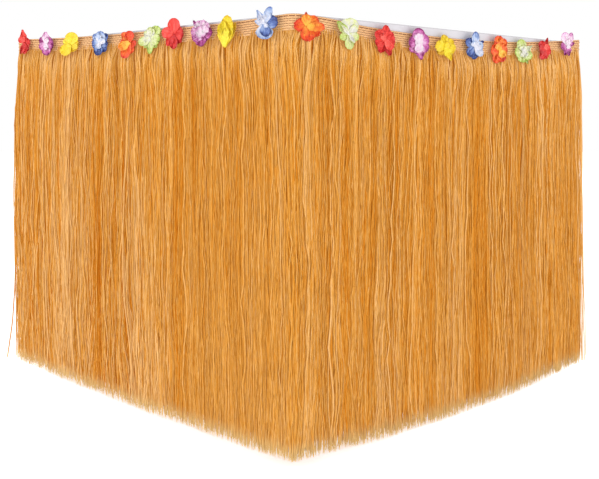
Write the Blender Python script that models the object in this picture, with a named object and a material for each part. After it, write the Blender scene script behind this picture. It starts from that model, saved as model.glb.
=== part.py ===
"""A raffia table skirt with silk flowers, pinned round the front corner of a square white table.

Metres, +Z up, floor at z = 0. The skirt covers the table's front side (facing -Y) and its right
side (facing +X), and meets itself round the front right corner. Places on the skirt are given as a
wall, a distance from that corner along the wall, and a distance out from the table top's edge.
"""

import math
from collections import namedtuple

import bmesh
import bpy
from mathutils import Matrix, Vector

# Table
TABLE_HEIGHT = 0.762
TOP_SIDE = 0.892
TOP_THICKNESS = 0.028
TOP_CORNER_RADIUS = 0.015
TOP_EDGE_EASE = 0.002
TABLE_CENTRE = Vector((-0.005, -0.002, 0.0))
LEG_WIDTH = 0.045
LEG_FOOT_WIDTH = 0.036
LEG_INSET = 0.060
LEG_EDGE_EASE = 0.004

# Skirt
SEAM_GAP = 0.0003
BAND_HEIGHT = 0.027
BAND_THICKNESS = 0.0020
SKIRT_DROP = 0.737
LEG_COLUMNS = 38
CORNER_COLUMNS = 6

# Flowers
PETALS = 5
POINTS_A_PETAL = 4
PETAL_THICKNESS = 0.0012
PETAL_NOTCH = 0.28
FLOWER_STAND_OFF = 0.0065
STALK_RADIUS = 0.0026
THROAT_RADIUS = 0.0052

FRONT, SIDE = -1, 1

# How far the band's upper edge hangs below the table top, along each wall.
Sag = namedtuple("Sag", "along drop")
BAND_SAG = {
    FRONT: [
        Sag(0.000, 0.0000),
        Sag(0.120, 0.0034),
        Sag(0.300, 0.0038),
        Sag(0.480, 0.0032),
        Sag(0.620, 0.0006),
        Sag(0.760, -0.0032),
        Sag(0.892, -0.0085),
    ],
    SIDE: [
        Sag(0.000, 0.0000),
        Sag(0.065, 0.0024),
        Sag(0.160, 0.0098),
        Sag(0.300, 0.0150),
        Sag(0.450, 0.0165),
        Sag(0.600, 0.0134),
        Sag(0.745, 0.0050),
        Sag(0.892, -0.0065),
    ],
}

# The fringe's section: depth below the band, its inner and outer faces, how far each end spreads
# past the table top, and the rounding of its corner.
Level = namedtuple("Level", "down inner outer front_spread side_spread corner")
FRINGE_LEVELS = [
    Level(0.0003, 0.0007, 0.0030, 0.000, 0.000, 0.0180),
    Level(0.0120, 0.0008, 0.0042, 0.001, 0.001, 0.0175),
    Level(0.0300, 0.0010, 0.0062, 0.003, 0.003, 0.0170),
    Level(0.0600, 0.0014, 0.0092, 0.006, 0.006, 0.0160),
    Level(0.1100, 0.0018, 0.0118, 0.010, 0.009, 0.0150),
    Level(0.2000, 0.0022, 0.0135, 0.016, 0.011, 0.0140),
    Level(0.3200, 0.0028, 0.0150, 0.021, 0.014, 0.0130),
    Level(0.4500, 0.0035, 0.0162, 0.022, 0.019, 0.0120),
    Level(0.5800, 0.0045, 0.0174, 0.022, 0.024, 0.0110),
    Level(0.7100, 0.0060, 0.0186, 0.022, 0.028, 0.0100),
]
INNER_CORNER_LEAST = 0.004

# The fringe's largest locks and partings: ridges stand out and partings fall back, most at the hem.
Fold = namedtuple("Fold", "wall along width depth")
FRINGE_FOLDS = [
    Fold(FRONT, 0.075, 0.055, 0.0020),
    Fold(FRONT, 0.165, 0.050, -0.0022),
    Fold(FRONT, 0.285, 0.070, -0.0032),
    Fold(FRONT, 0.400, 0.080, 0.0026),
    Fold(FRONT, 0.560, 0.060, -0.0030),
    Fold(FRONT, 0.660, 0.070, 0.0024),
    Fold(FRONT, 0.780, 0.060, -0.0018),
    Fold(SIDE, 0.060, 0.050, 0.0018),
    Fold(SIDE, 0.125, 0.050, -0.0026),
    Fold(SIDE, 0.215, 0.070, 0.0024),
    Fold(SIDE, 0.310, 0.060, -0.0034),
    Fold(SIDE, 0.400, 0.060, 0.0022),
    Fold(SIDE, 0.495, 0.055, -0.0030),
    Fold(SIDE, 0.610, 0.080, 0.0026),
    Fold(SIDE, 0.745, 0.060, -0.0020),
]

# Each flower's place on its wall, its height below the table top, its size, the turn of its petals,
# the swing of its face about the vertical and how far its petals rise from throat to rim.
Flower = namedtuple("Flower", "colour wall along below width height turn swing cup")
FLOWERS = [
    Flower("red", FRONT, 0.850, 0.000, 0.050, 0.057, 90, -4, 0.010),
    Flower("purple", FRONT, 0.751, 0.009, 0.056, 0.053, 100, 4, 0.009),
    Flower("yellow", FRONT, 0.659, 0.016, 0.060, 0.050, 60, 12, 0.009),
    Flower("blue", FRONT, 0.543, 0.020, 0.058, 0.053, 84, 6, 0.010),
    Flower("orange", FRONT, 0.450, 0.027, 0.054, 0.056, 96, 3, 0.012),
    Flower("green", FRONT, 0.375, 0.022, 0.060, 0.056, 66, 9, 0.009),
    Flower("red", FRONT, 0.302, 0.015, 0.060, 0.059, 90, 8, 0.008),
    Flower("purple", FRONT, 0.219, 0.019, 0.060, 0.052, 76, 5, 0.012),
    Flower("yellow", FRONT, 0.148, 0.021, 0.044, 0.058, 270, 2, 0.013),
    Flower("blue", FRONT, 0.050, 0.013, 0.056, 0.057, 54, 4, 0.010),
    Flower("orange", SIDE, 0.026, 0.021, 0.060, 0.053, 90, -24, 0.013),
    Flower("green", SIDE, 0.113, 0.027, 0.056, 0.057, 270, -2, 0.011),
    Flower("red", SIDE, 0.208, 0.033, 0.056, 0.057, 82, -3, 0.012),
    Flower("purple", SIDE, 0.303, 0.034, 0.058, 0.060, 270, -3, 0.009),
    Flower("yellow", SIDE, 0.384, 0.037, 0.060, 0.054, 100, -5, 0.012),
    Flower("blue", SIDE, 0.476, 0.028, 0.058, 0.056, 94, -4, 0.010),
    Flower("orange", SIDE, 0.559, 0.031, 0.056, 0.058, 88, -4, 0.012),
    Flower("green", SIDE, 0.650, 0.031, 0.060, 0.054, 70, -10, 0.009),
    Flower("red", SIDE, 0.728, 0.022, 0.050, 0.050, 110, 0, 0.012),
    Flower("purple", SIDE, 0.821, 0.007, 0.056, 0.053, 90, -4, 0.012),
]

# A flower's section from stalk to petal tip: share of the petal's length, share of the cup.
Ring = namedtuple("Ring", "reach rise")
PETAL_RINGS = [Ring(0.62, 0.50), Ring(1.00, 1.00)]

Finish = namedtuple("Finish", "colour roughness metallic")
FINISHES = {
    "white_lacquer": Finish((0.86, 0.85, 0.87), 0.42, 0.0),
    "raffia_braid": Finish((0.68, 0.34, 0.15), 0.60, 0.0),
    "raffia_strands": Finish((0.76, 0.34, 0.07), 0.50, 0.0),
    "red_silk": Finish((0.80, 0.03, 0.02), 0.55, 0.0),
    "purple_silk": Finish((0.62, 0.20, 0.62), 0.55, 0.0),
    "yellow_silk": Finish((0.88, 0.72, 0.03), 0.55, 0.0),
    "blue_silk": Finish((0.16, 0.28, 0.66), 0.55, 0.0),
    "orange_silk": Finish((0.86, 0.17, 0.02), 0.55, 0.0),
    "green_silk": Finish((0.55, 0.76, 0.26), 0.55, 0.0),
}

Column = namedtuple("Column", "wall leg turn")


def clear_scene():
    for obj in list(bpy.data.objects):
        bpy.data.objects.remove(obj)


def make_material(name):
    finish = FINISHES[name]
    material = bpy.data.materials.new(name)
    material.use_nodes = True
    shader = material.node_tree.nodes["Principled BSDF"]
    shader.inputs["Base Color"].default_value = (*finish.colour, 1.0)
    shader.inputs["Roughness"].default_value = finish.roughness
    shader.inputs["Metallic"].default_value = finish.metallic
    return material


def add_piece(name, shape, material, smooth_under=None):
    """Makes a named object from a bmesh, with its faces turned outwards."""
    bmesh.ops.recalc_face_normals(shape, faces=shape.faces)
    mesh = bpy.data.meshes.new(name)
    shape.to_mesh(mesh)
    shape.free()
    mesh.materials.append(material)
    if smooth_under is not None:
        mesh.shade_smooth()
        mesh.set_sharp_from_angle(angle=math.radians(smooth_under))
    piece = bpy.data.objects.new(name, mesh)
    bpy.context.scene.collection.objects.link(piece)
    return piece


def smooth_value(rows, at):
    """Reads a two-column table at a place between its rows, on a curve through them."""
    span = 0
    while span < len(rows) - 2 and at > rows[span + 1][0]:
        span += 1
    before, start, end, after = (
        rows[min(max(span + step, 0), len(rows) - 1)] for step in (-1, 0, 1, 2)
    )
    width = end[0] - start[0]
    share = (at - start[0]) / width
    slope_start = (end[1] - before[1]) / (end[0] - before[0]) * width
    slope_end = (after[1] - start[1]) / (after[0] - start[0]) * width
    return (
        start[1] * (2 * share**3 - 3 * share**2 + 1)
        + slope_start * (share**3 - 2 * share**2 + share)
        + end[1] * (3 * share**2 - 2 * share**3)
        + slope_end * (share**3 - share**2)
    )


def band_top(column):
    along = column.leg * TOP_SIDE
    return TABLE_HEIGHT - smooth_value(BAND_SAG[column.wall], along)


def skirt_columns():
    """Stations round the skirt, from the front wall's far end, by the corner, to the side wall's."""
    quarter = math.pi / 4
    front = [Column(FRONT, 1 - i / LEG_COLUMNS, -quarter) for i in range(LEG_COLUMNS)]
    turns = [quarter * (2 * i / CORNER_COLUMNS - 1) for i in range(CORNER_COLUMNS + 1)]
    corner = [Column(SIDE if turn > 0 else FRONT, 0.0, turn) for turn in turns]
    side = [Column(SIDE, (i + 1) / LEG_COLUMNS, quarter) for i in range(LEG_COLUMNS)]
    return front + corner + side


def plan_point(column, out, spread, corner):
    """The plan position of a station, `out` from the table top's edge, with a rounded corner."""
    half = TOP_SIDE / 2
    centre = Vector((half + out - corner, corner - half - out))
    angle = column.turn - math.pi / 4
    reach = column.leg * (TOP_SIDE + out + spread - corner)
    way = Vector((0, 1)) if column.wall == SIDE else Vector((-1, 0))
    flat = centre + corner * Vector((math.cos(angle), math.sin(angle))) + reach * way
    return TABLE_CENTRE + flat.to_3d()


def closed_wall(outer, inner):
    """Joins two grids of points, rows from the top down, into one closed wall."""
    shape = bmesh.new()
    grids = [[[shape.verts.new(p) for p in row] for row in grid] for grid in (outer, inner)]
    rows, columns = len(outer), len(outer[0])
    for grid in grids:
        for i in range(rows - 1):
            for j in range(columns - 1):
                shape.faces.new((grid[i][j], grid[i][j + 1], grid[i + 1][j + 1], grid[i + 1][j]))
    face, back = grids
    for i in (0, rows - 1):
        for j in range(columns - 1):
            shape.faces.new((face[i][j], face[i][j + 1], back[i][j + 1], back[i][j]))
    for j in (0, columns - 1):
        for i in range(rows - 1):
            shape.faces.new((face[i][j], face[i + 1][j], back[i + 1][j], back[i][j]))
    return shape


def make_table_top():
    half = TOP_SIDE / 2
    radius = TOP_CORNER_RADIUS
    shape = bmesh.new()
    outline = []
    for quarter, (sx, sy) in enumerate(((1, 1), (-1, 1), (-1, -1), (1, -1))):
        for step in range(7):
            angle = (quarter + step / 6) * math.pi / 2
            x = sx * (half - radius) + radius * math.cos(angle)
            y = sy * (half - radius) + radius * math.sin(angle)
            under = Vector((x, y, TABLE_HEIGHT - TOP_THICKNESS))
            outline.append(shape.verts.new(TABLE_CENTRE + under))
    underside = shape.faces.new(outline)
    grown = bmesh.ops.extrude_face_region(shape, geom=[underside])
    raised = [item for item in grown["geom"] if isinstance(item, bmesh.types.BMVert)]
    bmesh.ops.translate(shape, verts=raised, vec=(0, 0, TOP_THICKNESS))
    piece = add_piece("table_top", shape, make_material("white_lacquer"), 35)
    ease = piece.modifiers.new("eased_edges", "BEVEL")
    ease.width = TOP_EDGE_EASE
    ease.segments = 2
    ease.limit_method = "ANGLE"
    ease.angle_limit = math.radians(60)


def make_leg(name, sx, sy):
    """A square leg under the top, tapered towards its foot on the two inner faces."""
    outer = TOP_SIDE / 2 - LEG_INSET
    height = TABLE_HEIGHT - TOP_THICKNESS - SEAM_GAP
    shape = bmesh.new()
    ends = []
    for z, width in ((0.0, LEG_FOOT_WIDTH), (height, LEG_WIDTH)):
        corners = [(outer, outer), (outer - width, outer), (outer - width, outer - width)]
        corners.append((outer, outer - width))
        points = [TABLE_CENTRE + Vector((sx * x, sy * y, z)) for x, y in corners]
        ends.append([shape.verts.new(point) for point in points])
    foot, head = ends
    shape.faces.new(foot)
    shape.faces.new(head)
    for i in range(4):
        shape.faces.new((foot[i - 1], foot[i], head[i], head[i - 1]))
    upright = [e for e in shape.edges if abs(e.verts[0].co.z - e.verts[1].co.z) > height / 2]
    bmesh.ops.bevel(shape, geom=upright, offset=LEG_EDGE_EASE, segments=3, profile=0.5, affect="EDGES")
    add_piece(name, shape, bpy.data.materials["white_lacquer"], 35)


def make_heading_band():
    columns = skirt_columns()
    faces = []
    for out in (SEAM_GAP + BAND_THICKNESS, SEAM_GAP):
        corner = TOP_CORNER_RADIUS + out
        rows = []
        for down in (0.0, BAND_HEIGHT):
            rows.append([])
            for column in columns:
                point = plan_point(column, out, 0.0, corner)
                point.z = band_top(column) - down
                rows[-1].append(point)
        faces.append(rows)
    add_piece("heading_band", closed_wall(*faces), make_material("raffia_braid"), 35)


def fold_depth(column, down):
    """How far the largest folds push the fringe's face out at one place."""
    along = column.leg * TOP_SIDE
    total = 0.0
    for fold in FRINGE_FOLDS:
        away = abs(along - fold.along) / fold.width
        if fold.wall == column.wall and away < 1:
            total += fold.depth * (1 + math.cos(math.pi * away)) / 2
    return total * min(1.0, down / (SKIRT_DROP - BAND_HEIGHT)) ** 0.7


def make_raffia_fringe():
    columns = skirt_columns()
    outer, inner = [], []
    for level in FRINGE_LEVELS:
        outer.append([])
        inner.append([])
        thickness = level.outer - level.inner
        inner_corner = max(level.corner - thickness, INNER_CORNER_LEAST)
        for column in columns:
            spread = level.side_spread if column.wall == SIDE else level.front_spread
            height = band_top(column) - BAND_HEIGHT - level.down
            face = level.outer + fold_depth(column, level.down)
            for rows, out, corner in ((outer, face, level.corner), (inner, level.inner, inner_corner)):
                point = plan_point(column, out, spread, corner)
                point.z = height
                rows[-1].append(point)
    add_piece("raffia_fringe", closed_wall(outer, inner), make_material("raffia_strands"), 50)


def flower_frame(flower):
    """The flower's own axes at the band's outer face: X along the wall, Y up, Z out."""
    out = SEAM_GAP + BAND_THICKNESS
    half = TOP_SIDE / 2
    if flower.wall == FRONT:
        place = Vector((half - flower.along, -half - out, 0))
        normal = Vector((0, -1, 0))
    else:
        place = Vector((half + out, flower.along - half, 0))
        normal = Vector((1, 0, 0))
    place += TABLE_CENTRE
    place.z = TABLE_HEIGHT - flower.below
    normal = Matrix.Rotation(math.radians(flower.swing), 3, "Z") @ normal
    along = Vector((0, 0, 1)).cross(normal)
    return place, along, normal


def make_flower(number, flower):
    """Five cupped petals round a throat, with a short stalk back to the band."""
    place, along, normal = flower_frame(flower)
    up = Vector((0, 0, 1))
    spokes = PETALS * POINTS_A_PETAL
    shape = bmesh.new()

    def point(angle, reach, out, round_off=False):
        lobe = 1.0
        if not round_off:
            beat = abs(math.cos(PETALS / 2 * (angle - math.radians(flower.turn))))
            lobe = 1 - PETAL_NOTCH * (1 - beat)
        x = reach * lobe * math.cos(angle) * (1 if round_off else flower.width / 2)
        y = reach * lobe * math.sin(angle) * (1 if round_off else flower.height / 2)
        return shape.verts.new(place + x * along + y * up + out * normal)

    def ring(reach, out, round_off=False):
        angles = [2 * math.pi * i / spokes for i in range(spokes)]
        return [point(angle, reach, out, round_off) for angle in angles]

    front_out = FLOWER_STAND_OFF + PETAL_THICKNESS
    stalk_out = SEAM_GAP + STALK_RADIUS * abs(math.sin(math.radians(flower.swing)))
    rings = [ring(STALK_RADIUS, stalk_out, True), ring(THROAT_RADIUS, FLOWER_STAND_OFF, True)]
    rings += [ring(r.reach, FLOWER_STAND_OFF + flower.cup * r.rise) for r in PETAL_RINGS]
    rings += [ring(r.reach, front_out + flower.cup * r.rise) for r in reversed(PETAL_RINGS)]
    rings.append(ring(THROAT_RADIUS, front_out, True))
    for inner, outer in zip(rings, rings[1:]):
        for i in range(spokes):
            shape.faces.new((inner[i - 1], inner[i], outer[i], outer[i - 1]))
    shape.faces.new(rings[0])
    shape.faces.new(rings[-1])
    silk = bpy.data.materials.get(flower.colour + "_silk") or make_material(flower.colour + "_silk")
    add_piece(f"flower_{number:02d}_{flower.colour}", shape, silk, 60)


def main():
    clear_scene()
    make_table_top()
    for name, sx, sy in (
        ("table_leg_front_right", 1, -1),
        ("table_leg_front_left", -1, -1),
        ("table_leg_back_right", 1, 1),
        ("table_leg_back_left", -1, 1),
    ):
        make_leg(name, sx, sy)
    make_heading_band()
    make_raffia_fringe()
    for number, flower in enumerate(FLOWERS, start=1):
        make_flower(number, flower)


main()
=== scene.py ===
"""The finished look of a raffia table skirt with silk flowers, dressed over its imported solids.

Metres, +Z up, floor at z = 0. The skirt covers the table's front side (facing -Y) and its right
side (facing +X). A place on it is a station, the distance along the skirt from its corner, below
zero on the front wall and above zero on the side wall, and a depth below the heading band.
"""

import math
from collections import namedtuple

import bmesh
import bpy
from mathutils import Matrix, Vector, noise


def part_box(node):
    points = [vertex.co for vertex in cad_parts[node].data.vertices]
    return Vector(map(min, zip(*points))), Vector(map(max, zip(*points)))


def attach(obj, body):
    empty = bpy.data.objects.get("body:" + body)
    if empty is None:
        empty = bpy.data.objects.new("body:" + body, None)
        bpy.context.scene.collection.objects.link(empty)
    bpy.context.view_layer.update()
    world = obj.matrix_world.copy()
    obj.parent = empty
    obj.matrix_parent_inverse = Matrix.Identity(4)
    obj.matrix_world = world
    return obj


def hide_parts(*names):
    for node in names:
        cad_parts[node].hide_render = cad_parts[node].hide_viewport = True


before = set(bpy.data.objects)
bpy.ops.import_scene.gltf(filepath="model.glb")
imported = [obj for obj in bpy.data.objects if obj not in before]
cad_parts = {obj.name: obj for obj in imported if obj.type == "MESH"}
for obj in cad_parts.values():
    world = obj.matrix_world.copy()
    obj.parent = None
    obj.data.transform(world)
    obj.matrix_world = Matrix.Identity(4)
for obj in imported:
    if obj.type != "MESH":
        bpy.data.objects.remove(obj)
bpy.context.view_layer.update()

# Table and skirt, from the frame
TOP_LOW, TOP_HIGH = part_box("table_top")
TOP_SIDE = TOP_HIGH.x - TOP_LOW.x
TABLE_HEIGHT = TOP_HIGH.z
TABLE_CENTRE = Vector(((TOP_LOW.x + TOP_HIGH.x) / 2, (TOP_LOW.y + TOP_HIGH.y) / 2, 0.0))
TOP_CORNER_RADIUS = 0.015
SEAM_GAP = 0.0003
BAND_HEIGHT = 0.027
BAND_THICKNESS = 0.0020
FRINGE_LENGTH = 0.710
CORNER_RUN = 0.022
END_ALLOWANCE = 0.030
HALF_RUN = CORNER_RUN / 2 + TOP_SIDE + END_ALLOWANCE

FRONT, SIDE = -1, 1

# How far the band's upper edge hangs below the table top, along each wall.
Sag = namedtuple("Sag", "along drop")
BAND_SAG = {
    FRONT: [
        Sag(0.000, 0.0000),
        Sag(0.120, 0.0034),
        Sag(0.300, 0.0038),
        Sag(0.480, 0.0032),
        Sag(0.620, 0.0006),
        Sag(0.760, -0.0032),
        Sag(0.892, -0.0085),
    ],
    SIDE: [
        Sag(0.000, 0.0000),
        Sag(0.065, 0.0024),
        Sag(0.160, 0.0098),
        Sag(0.300, 0.0150),
        Sag(0.450, 0.0165),
        Sag(0.600, 0.0134),
        Sag(0.745, 0.0050),
        Sag(0.892, -0.0065),
    ],
}

# The fringe's section: depth below the band, its inner and outer faces, how far each end spreads
# past the table top, and the rounding of its corner.
Level = namedtuple("Level", "down inner outer front_spread side_spread corner")
FRINGE_LEVELS = [
    Level(0.0003, 0.0007, 0.0030, 0.000, 0.000, 0.0180),
    Level(0.0120, 0.0008, 0.0042, 0.001, 0.001, 0.0175),
    Level(0.0300, 0.0010, 0.0062, 0.003, 0.003, 0.0170),
    Level(0.0600, 0.0014, 0.0092, 0.006, 0.006, 0.0160),
    Level(0.1100, 0.0018, 0.0118, 0.010, 0.009, 0.0150),
    Level(0.2000, 0.0022, 0.0135, 0.016, 0.011, 0.0140),
    Level(0.3200, 0.0028, 0.0150, 0.021, 0.014, 0.0130),
    Level(0.4500, 0.0035, 0.0162, 0.022, 0.019, 0.0120),
    Level(0.5800, 0.0045, 0.0174, 0.022, 0.024, 0.0110),
    Level(0.7100, 0.0060, 0.0186, 0.022, 0.028, 0.0100),
    Level(0.7220, 0.0062, 0.0188, 0.022, 0.028, 0.0100),
]
GUIDE_RISE = 0.010
GUIDE_REACH = GUIDE_RISE + FRINGE_LEVELS[-1].down

# The fringe's largest locks and partings: ridges stand out and partings fall back, most at the hem.
Fold = namedtuple("Fold", "wall along width depth")
FRINGE_FOLDS = [
    Fold(FRONT, 0.075, 0.055, 0.0020),
    Fold(FRONT, 0.165, 0.050, -0.0022),
    Fold(FRONT, 0.285, 0.070, -0.0032),
    Fold(FRONT, 0.400, 0.080, 0.0026),
    Fold(FRONT, 0.560, 0.060, -0.0030),
    Fold(FRONT, 0.660, 0.070, 0.0024),
    Fold(FRONT, 0.780, 0.060, -0.0018),
    Fold(SIDE, 0.060, 0.050, 0.0018),
    Fold(SIDE, 0.125, 0.050, -0.0026),
    Fold(SIDE, 0.215, 0.070, 0.0024),
    Fold(SIDE, 0.310, 0.060, -0.0034),
    Fold(SIDE, 0.400, 0.060, 0.0022),
    Fold(SIDE, 0.495, 0.055, -0.0030),
    Fold(SIDE, 0.610, 0.080, 0.0026),
    Fold(SIDE, 0.745, 0.060, -0.0020),
]
DEEPEST_FOLD = 0.0034

# The strands of raffia, in stretches along the skirt: where each runs, how many strands it has and
# the points of each, their narrowest and widest, and their freedom to wander, from 0 for the broad
# inner blades that lie straight to 1 for the strands in front of them.
Stretch = namedtuple(
    "Stretch",
    "name first last strands points narrowest widest freedom",
    defaults=(860, 25, 0.0012, 0.0044, 1.0),
)
FRINGE_STRETCHES = [
    Stretch("raffia_front_far", -0.900, -0.602),
    Stretch("raffia_front_middle", -0.602, -0.301),
    Stretch("raffia_front_near", -0.301, 0.0),
    Stretch("raffia_side_near", 0.0, 0.301),
    Stretch("raffia_side_middle", 0.301, 0.602),
    Stretch("raffia_side_far", 0.602, 0.892),
    Stretch("raffia_front_inner", -0.897, 0.0, 360, 12, 0.0080, 0.0095, 0.0),
    Stretch("raffia_side_inner", 0.0, 0.886, 360, 12, 0.0080, 0.0095, 0.0),
]
STRAND_FLATNESS = 0.22

# A strand's head, where most of its bending is, takes a large share of its points. Strands are
# sewn in by bunches, which are tied down to one depth, and they wave freely below another.
HEAD_SHARE = 0.25
HEAD_DEPTH = 0.060
BUNCH_WIDTH = 0.0062
TIED_DEPTH = 0.075
FREE_DEPTH = 0.040

# How the hem is cut: a little long, then unevenly, with the inner blades and a few others shorter.
HEM_SPARE = 0.004
INNER_SHORT = 0.006
UNEVEN_CUT = 0.010
FEW_SHORT = 0.022

# How the strands wander sideways: how wide, over what length of strand, and, where neighbours
# wander together, over what length of band. A few curly strands crinkle wider.
Wander = namedtuple("Wander", "wide down along", defaults=(None,))
LOCKS = Wander(0.018, 0.40, 0.060)
WAVES = Wander(0.0075, 0.13, 0.018)
CROSSING = Wander(0.013, 0.17)
CRINKLE = Wander(0.0056, 0.060)
CURLY_CRINKLE = 0.0060
MOST_LEAN = 0.005
BUNCH_BOW = 0.024

# Strands come loose at the fringe's ends: how far past the end each hangs at the band, halfway
# down and at the hem, how far it stands off there, its cut below the band, tone and width.
Loose = namedtuple("Loose", "wall root middle hem off cut tone width", defaults=(0.0026,))
LOOSE_STRANDS = [
    Loose(FRONT, -0.009, -0.003, -0.004, 0.001, 0.707, 0.5),
    Loose(FRONT, -0.007, 0.002, -0.001, 0.001, 0.698, 0.9),
    Loose(FRONT, -0.005, 0.006, 0.003, 0.001, 0.710, 1.0),
    Loose(FRONT, -0.003, 0.010, 0.006, 0.002, 0.704, 0.8),
    Loose(FRONT, -0.006, -0.004, 0.014, 0.021, 0.706, 0.4, 0.0040),
    Loose(SIDE, -0.014, -0.012, -0.015, 0.000, 0.702, 0.6),
    Loose(SIDE, -0.011, -0.008, -0.008, 0.001, 0.706, 0.9),
    Loose(SIDE, -0.009, -0.003, -0.010, 0.001, 0.699, 0.5),
    Loose(SIDE, -0.007, -0.001, 0.000, 0.002, 0.710, 1.0),
    Loose(SIDE, -0.005, 0.003, 0.006, 0.001, 0.707, 1.0),
    Loose(SIDE, -0.004, 0.005, 0.003, 0.003, 0.711, 0.8),
    Loose(SIDE, -0.003, 0.003, 0.013, 0.002, 0.712, 1.0),
    Loose(SIDE, -0.002, 0.006, 0.017, 0.003, 0.701, 1.0),
]
LOOSE_POINTS = 40
LOOSE_WAVER = 0.0030
LOOSE_FLATNESS = 0.55

# The woven heading band
BAND_CORDS = 7
BAND_CORD_SIDES = 8
THREAD_PITCH = 0.0058
THREAD_WIDTH = 0.0028
THREAD_FLATNESS = 0.30

# Each flower's place on its wall, its height below the table top, where its throat is from that
# place, how its petals are frilled and crumpled, how deep its rim is pinked, and the swing of its
# face about the vertical. Throat and pinking are in steps of the camera's view.
Flower = namedtuple(
    "Flower", "colour wall along below throat frill crumple pinked swing", defaults=(0.0, 0)
)
FLOWERS = [
    Flower("red", FRONT, 0.846, 0.000, (0, -1), 0.0010, 0.0012),
    Flower("purple", FRONT, 0.751, 0.009, (0, 0), 0.0016, 0.0016, 0.3),
    Flower("yellow", FRONT, 0.659, 0.016, (1, 0), 0.0012, 0.0014),
    Flower("blue", FRONT, 0.543, 0.020, (0, 0), 0.0014, 0.0016, 0.4),
    Flower("orange", FRONT, 0.450, 0.027, (3, 2.5), 0.0008, 0.0012),
    Flower("green", FRONT, 0.375, 0.022, (1, 2), 0.0012, 0.0012, 0.3),
    Flower("red", FRONT, 0.302, 0.015, (0, 0), 0.0008, 0.0010),
    Flower("purple", FRONT, 0.219, 0.019, (0, 0), 0.0030, 0.0022, 1.5),
    Flower("yellow", FRONT, 0.148, 0.021, (-3.2, -15), 0.0006, 0.0010),
    Flower("blue", FRONT, 0.050, 0.013, (-2, -1), 0.0008, 0.0010),
    Flower("orange", SIDE, 0.028, 0.021, (-2, 1), 0.0022, 0.0016, 1.3, -24),
    Flower("green", SIDE, 0.115, 0.027, (1, -1), 0.0008, 0.0010),
    Flower("red", SIDE, 0.211, 0.033, (0, 0), 0.0010, 0.0022, 0.5),
    Flower("purple", SIDE, 0.305, 0.034, (0, 1), 0.0012, 0.0014, 0.3),
    Flower("yellow", SIDE, 0.384, 0.037, (0, 1), 0.0014, 0.0022, 0.4),
    Flower("blue", SIDE, 0.479, 0.028, (0, -1), 0.0010, 0.0012),
    Flower("orange", SIDE, 0.561, 0.031, (1, -1), 0.0014, 0.0018, 0.3),
    Flower("green", SIDE, 0.653, 0.031, (-1, 0), 0.0018, 0.0014, 0.8),
    Flower("red", SIDE, 0.730, 0.022, (0, 0), 0.0010, 0.0020, 0.3),
    Flower("purple", SIDE, 0.824, 0.007, (0, -1), 0.0010, 0.0014),
]

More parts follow.
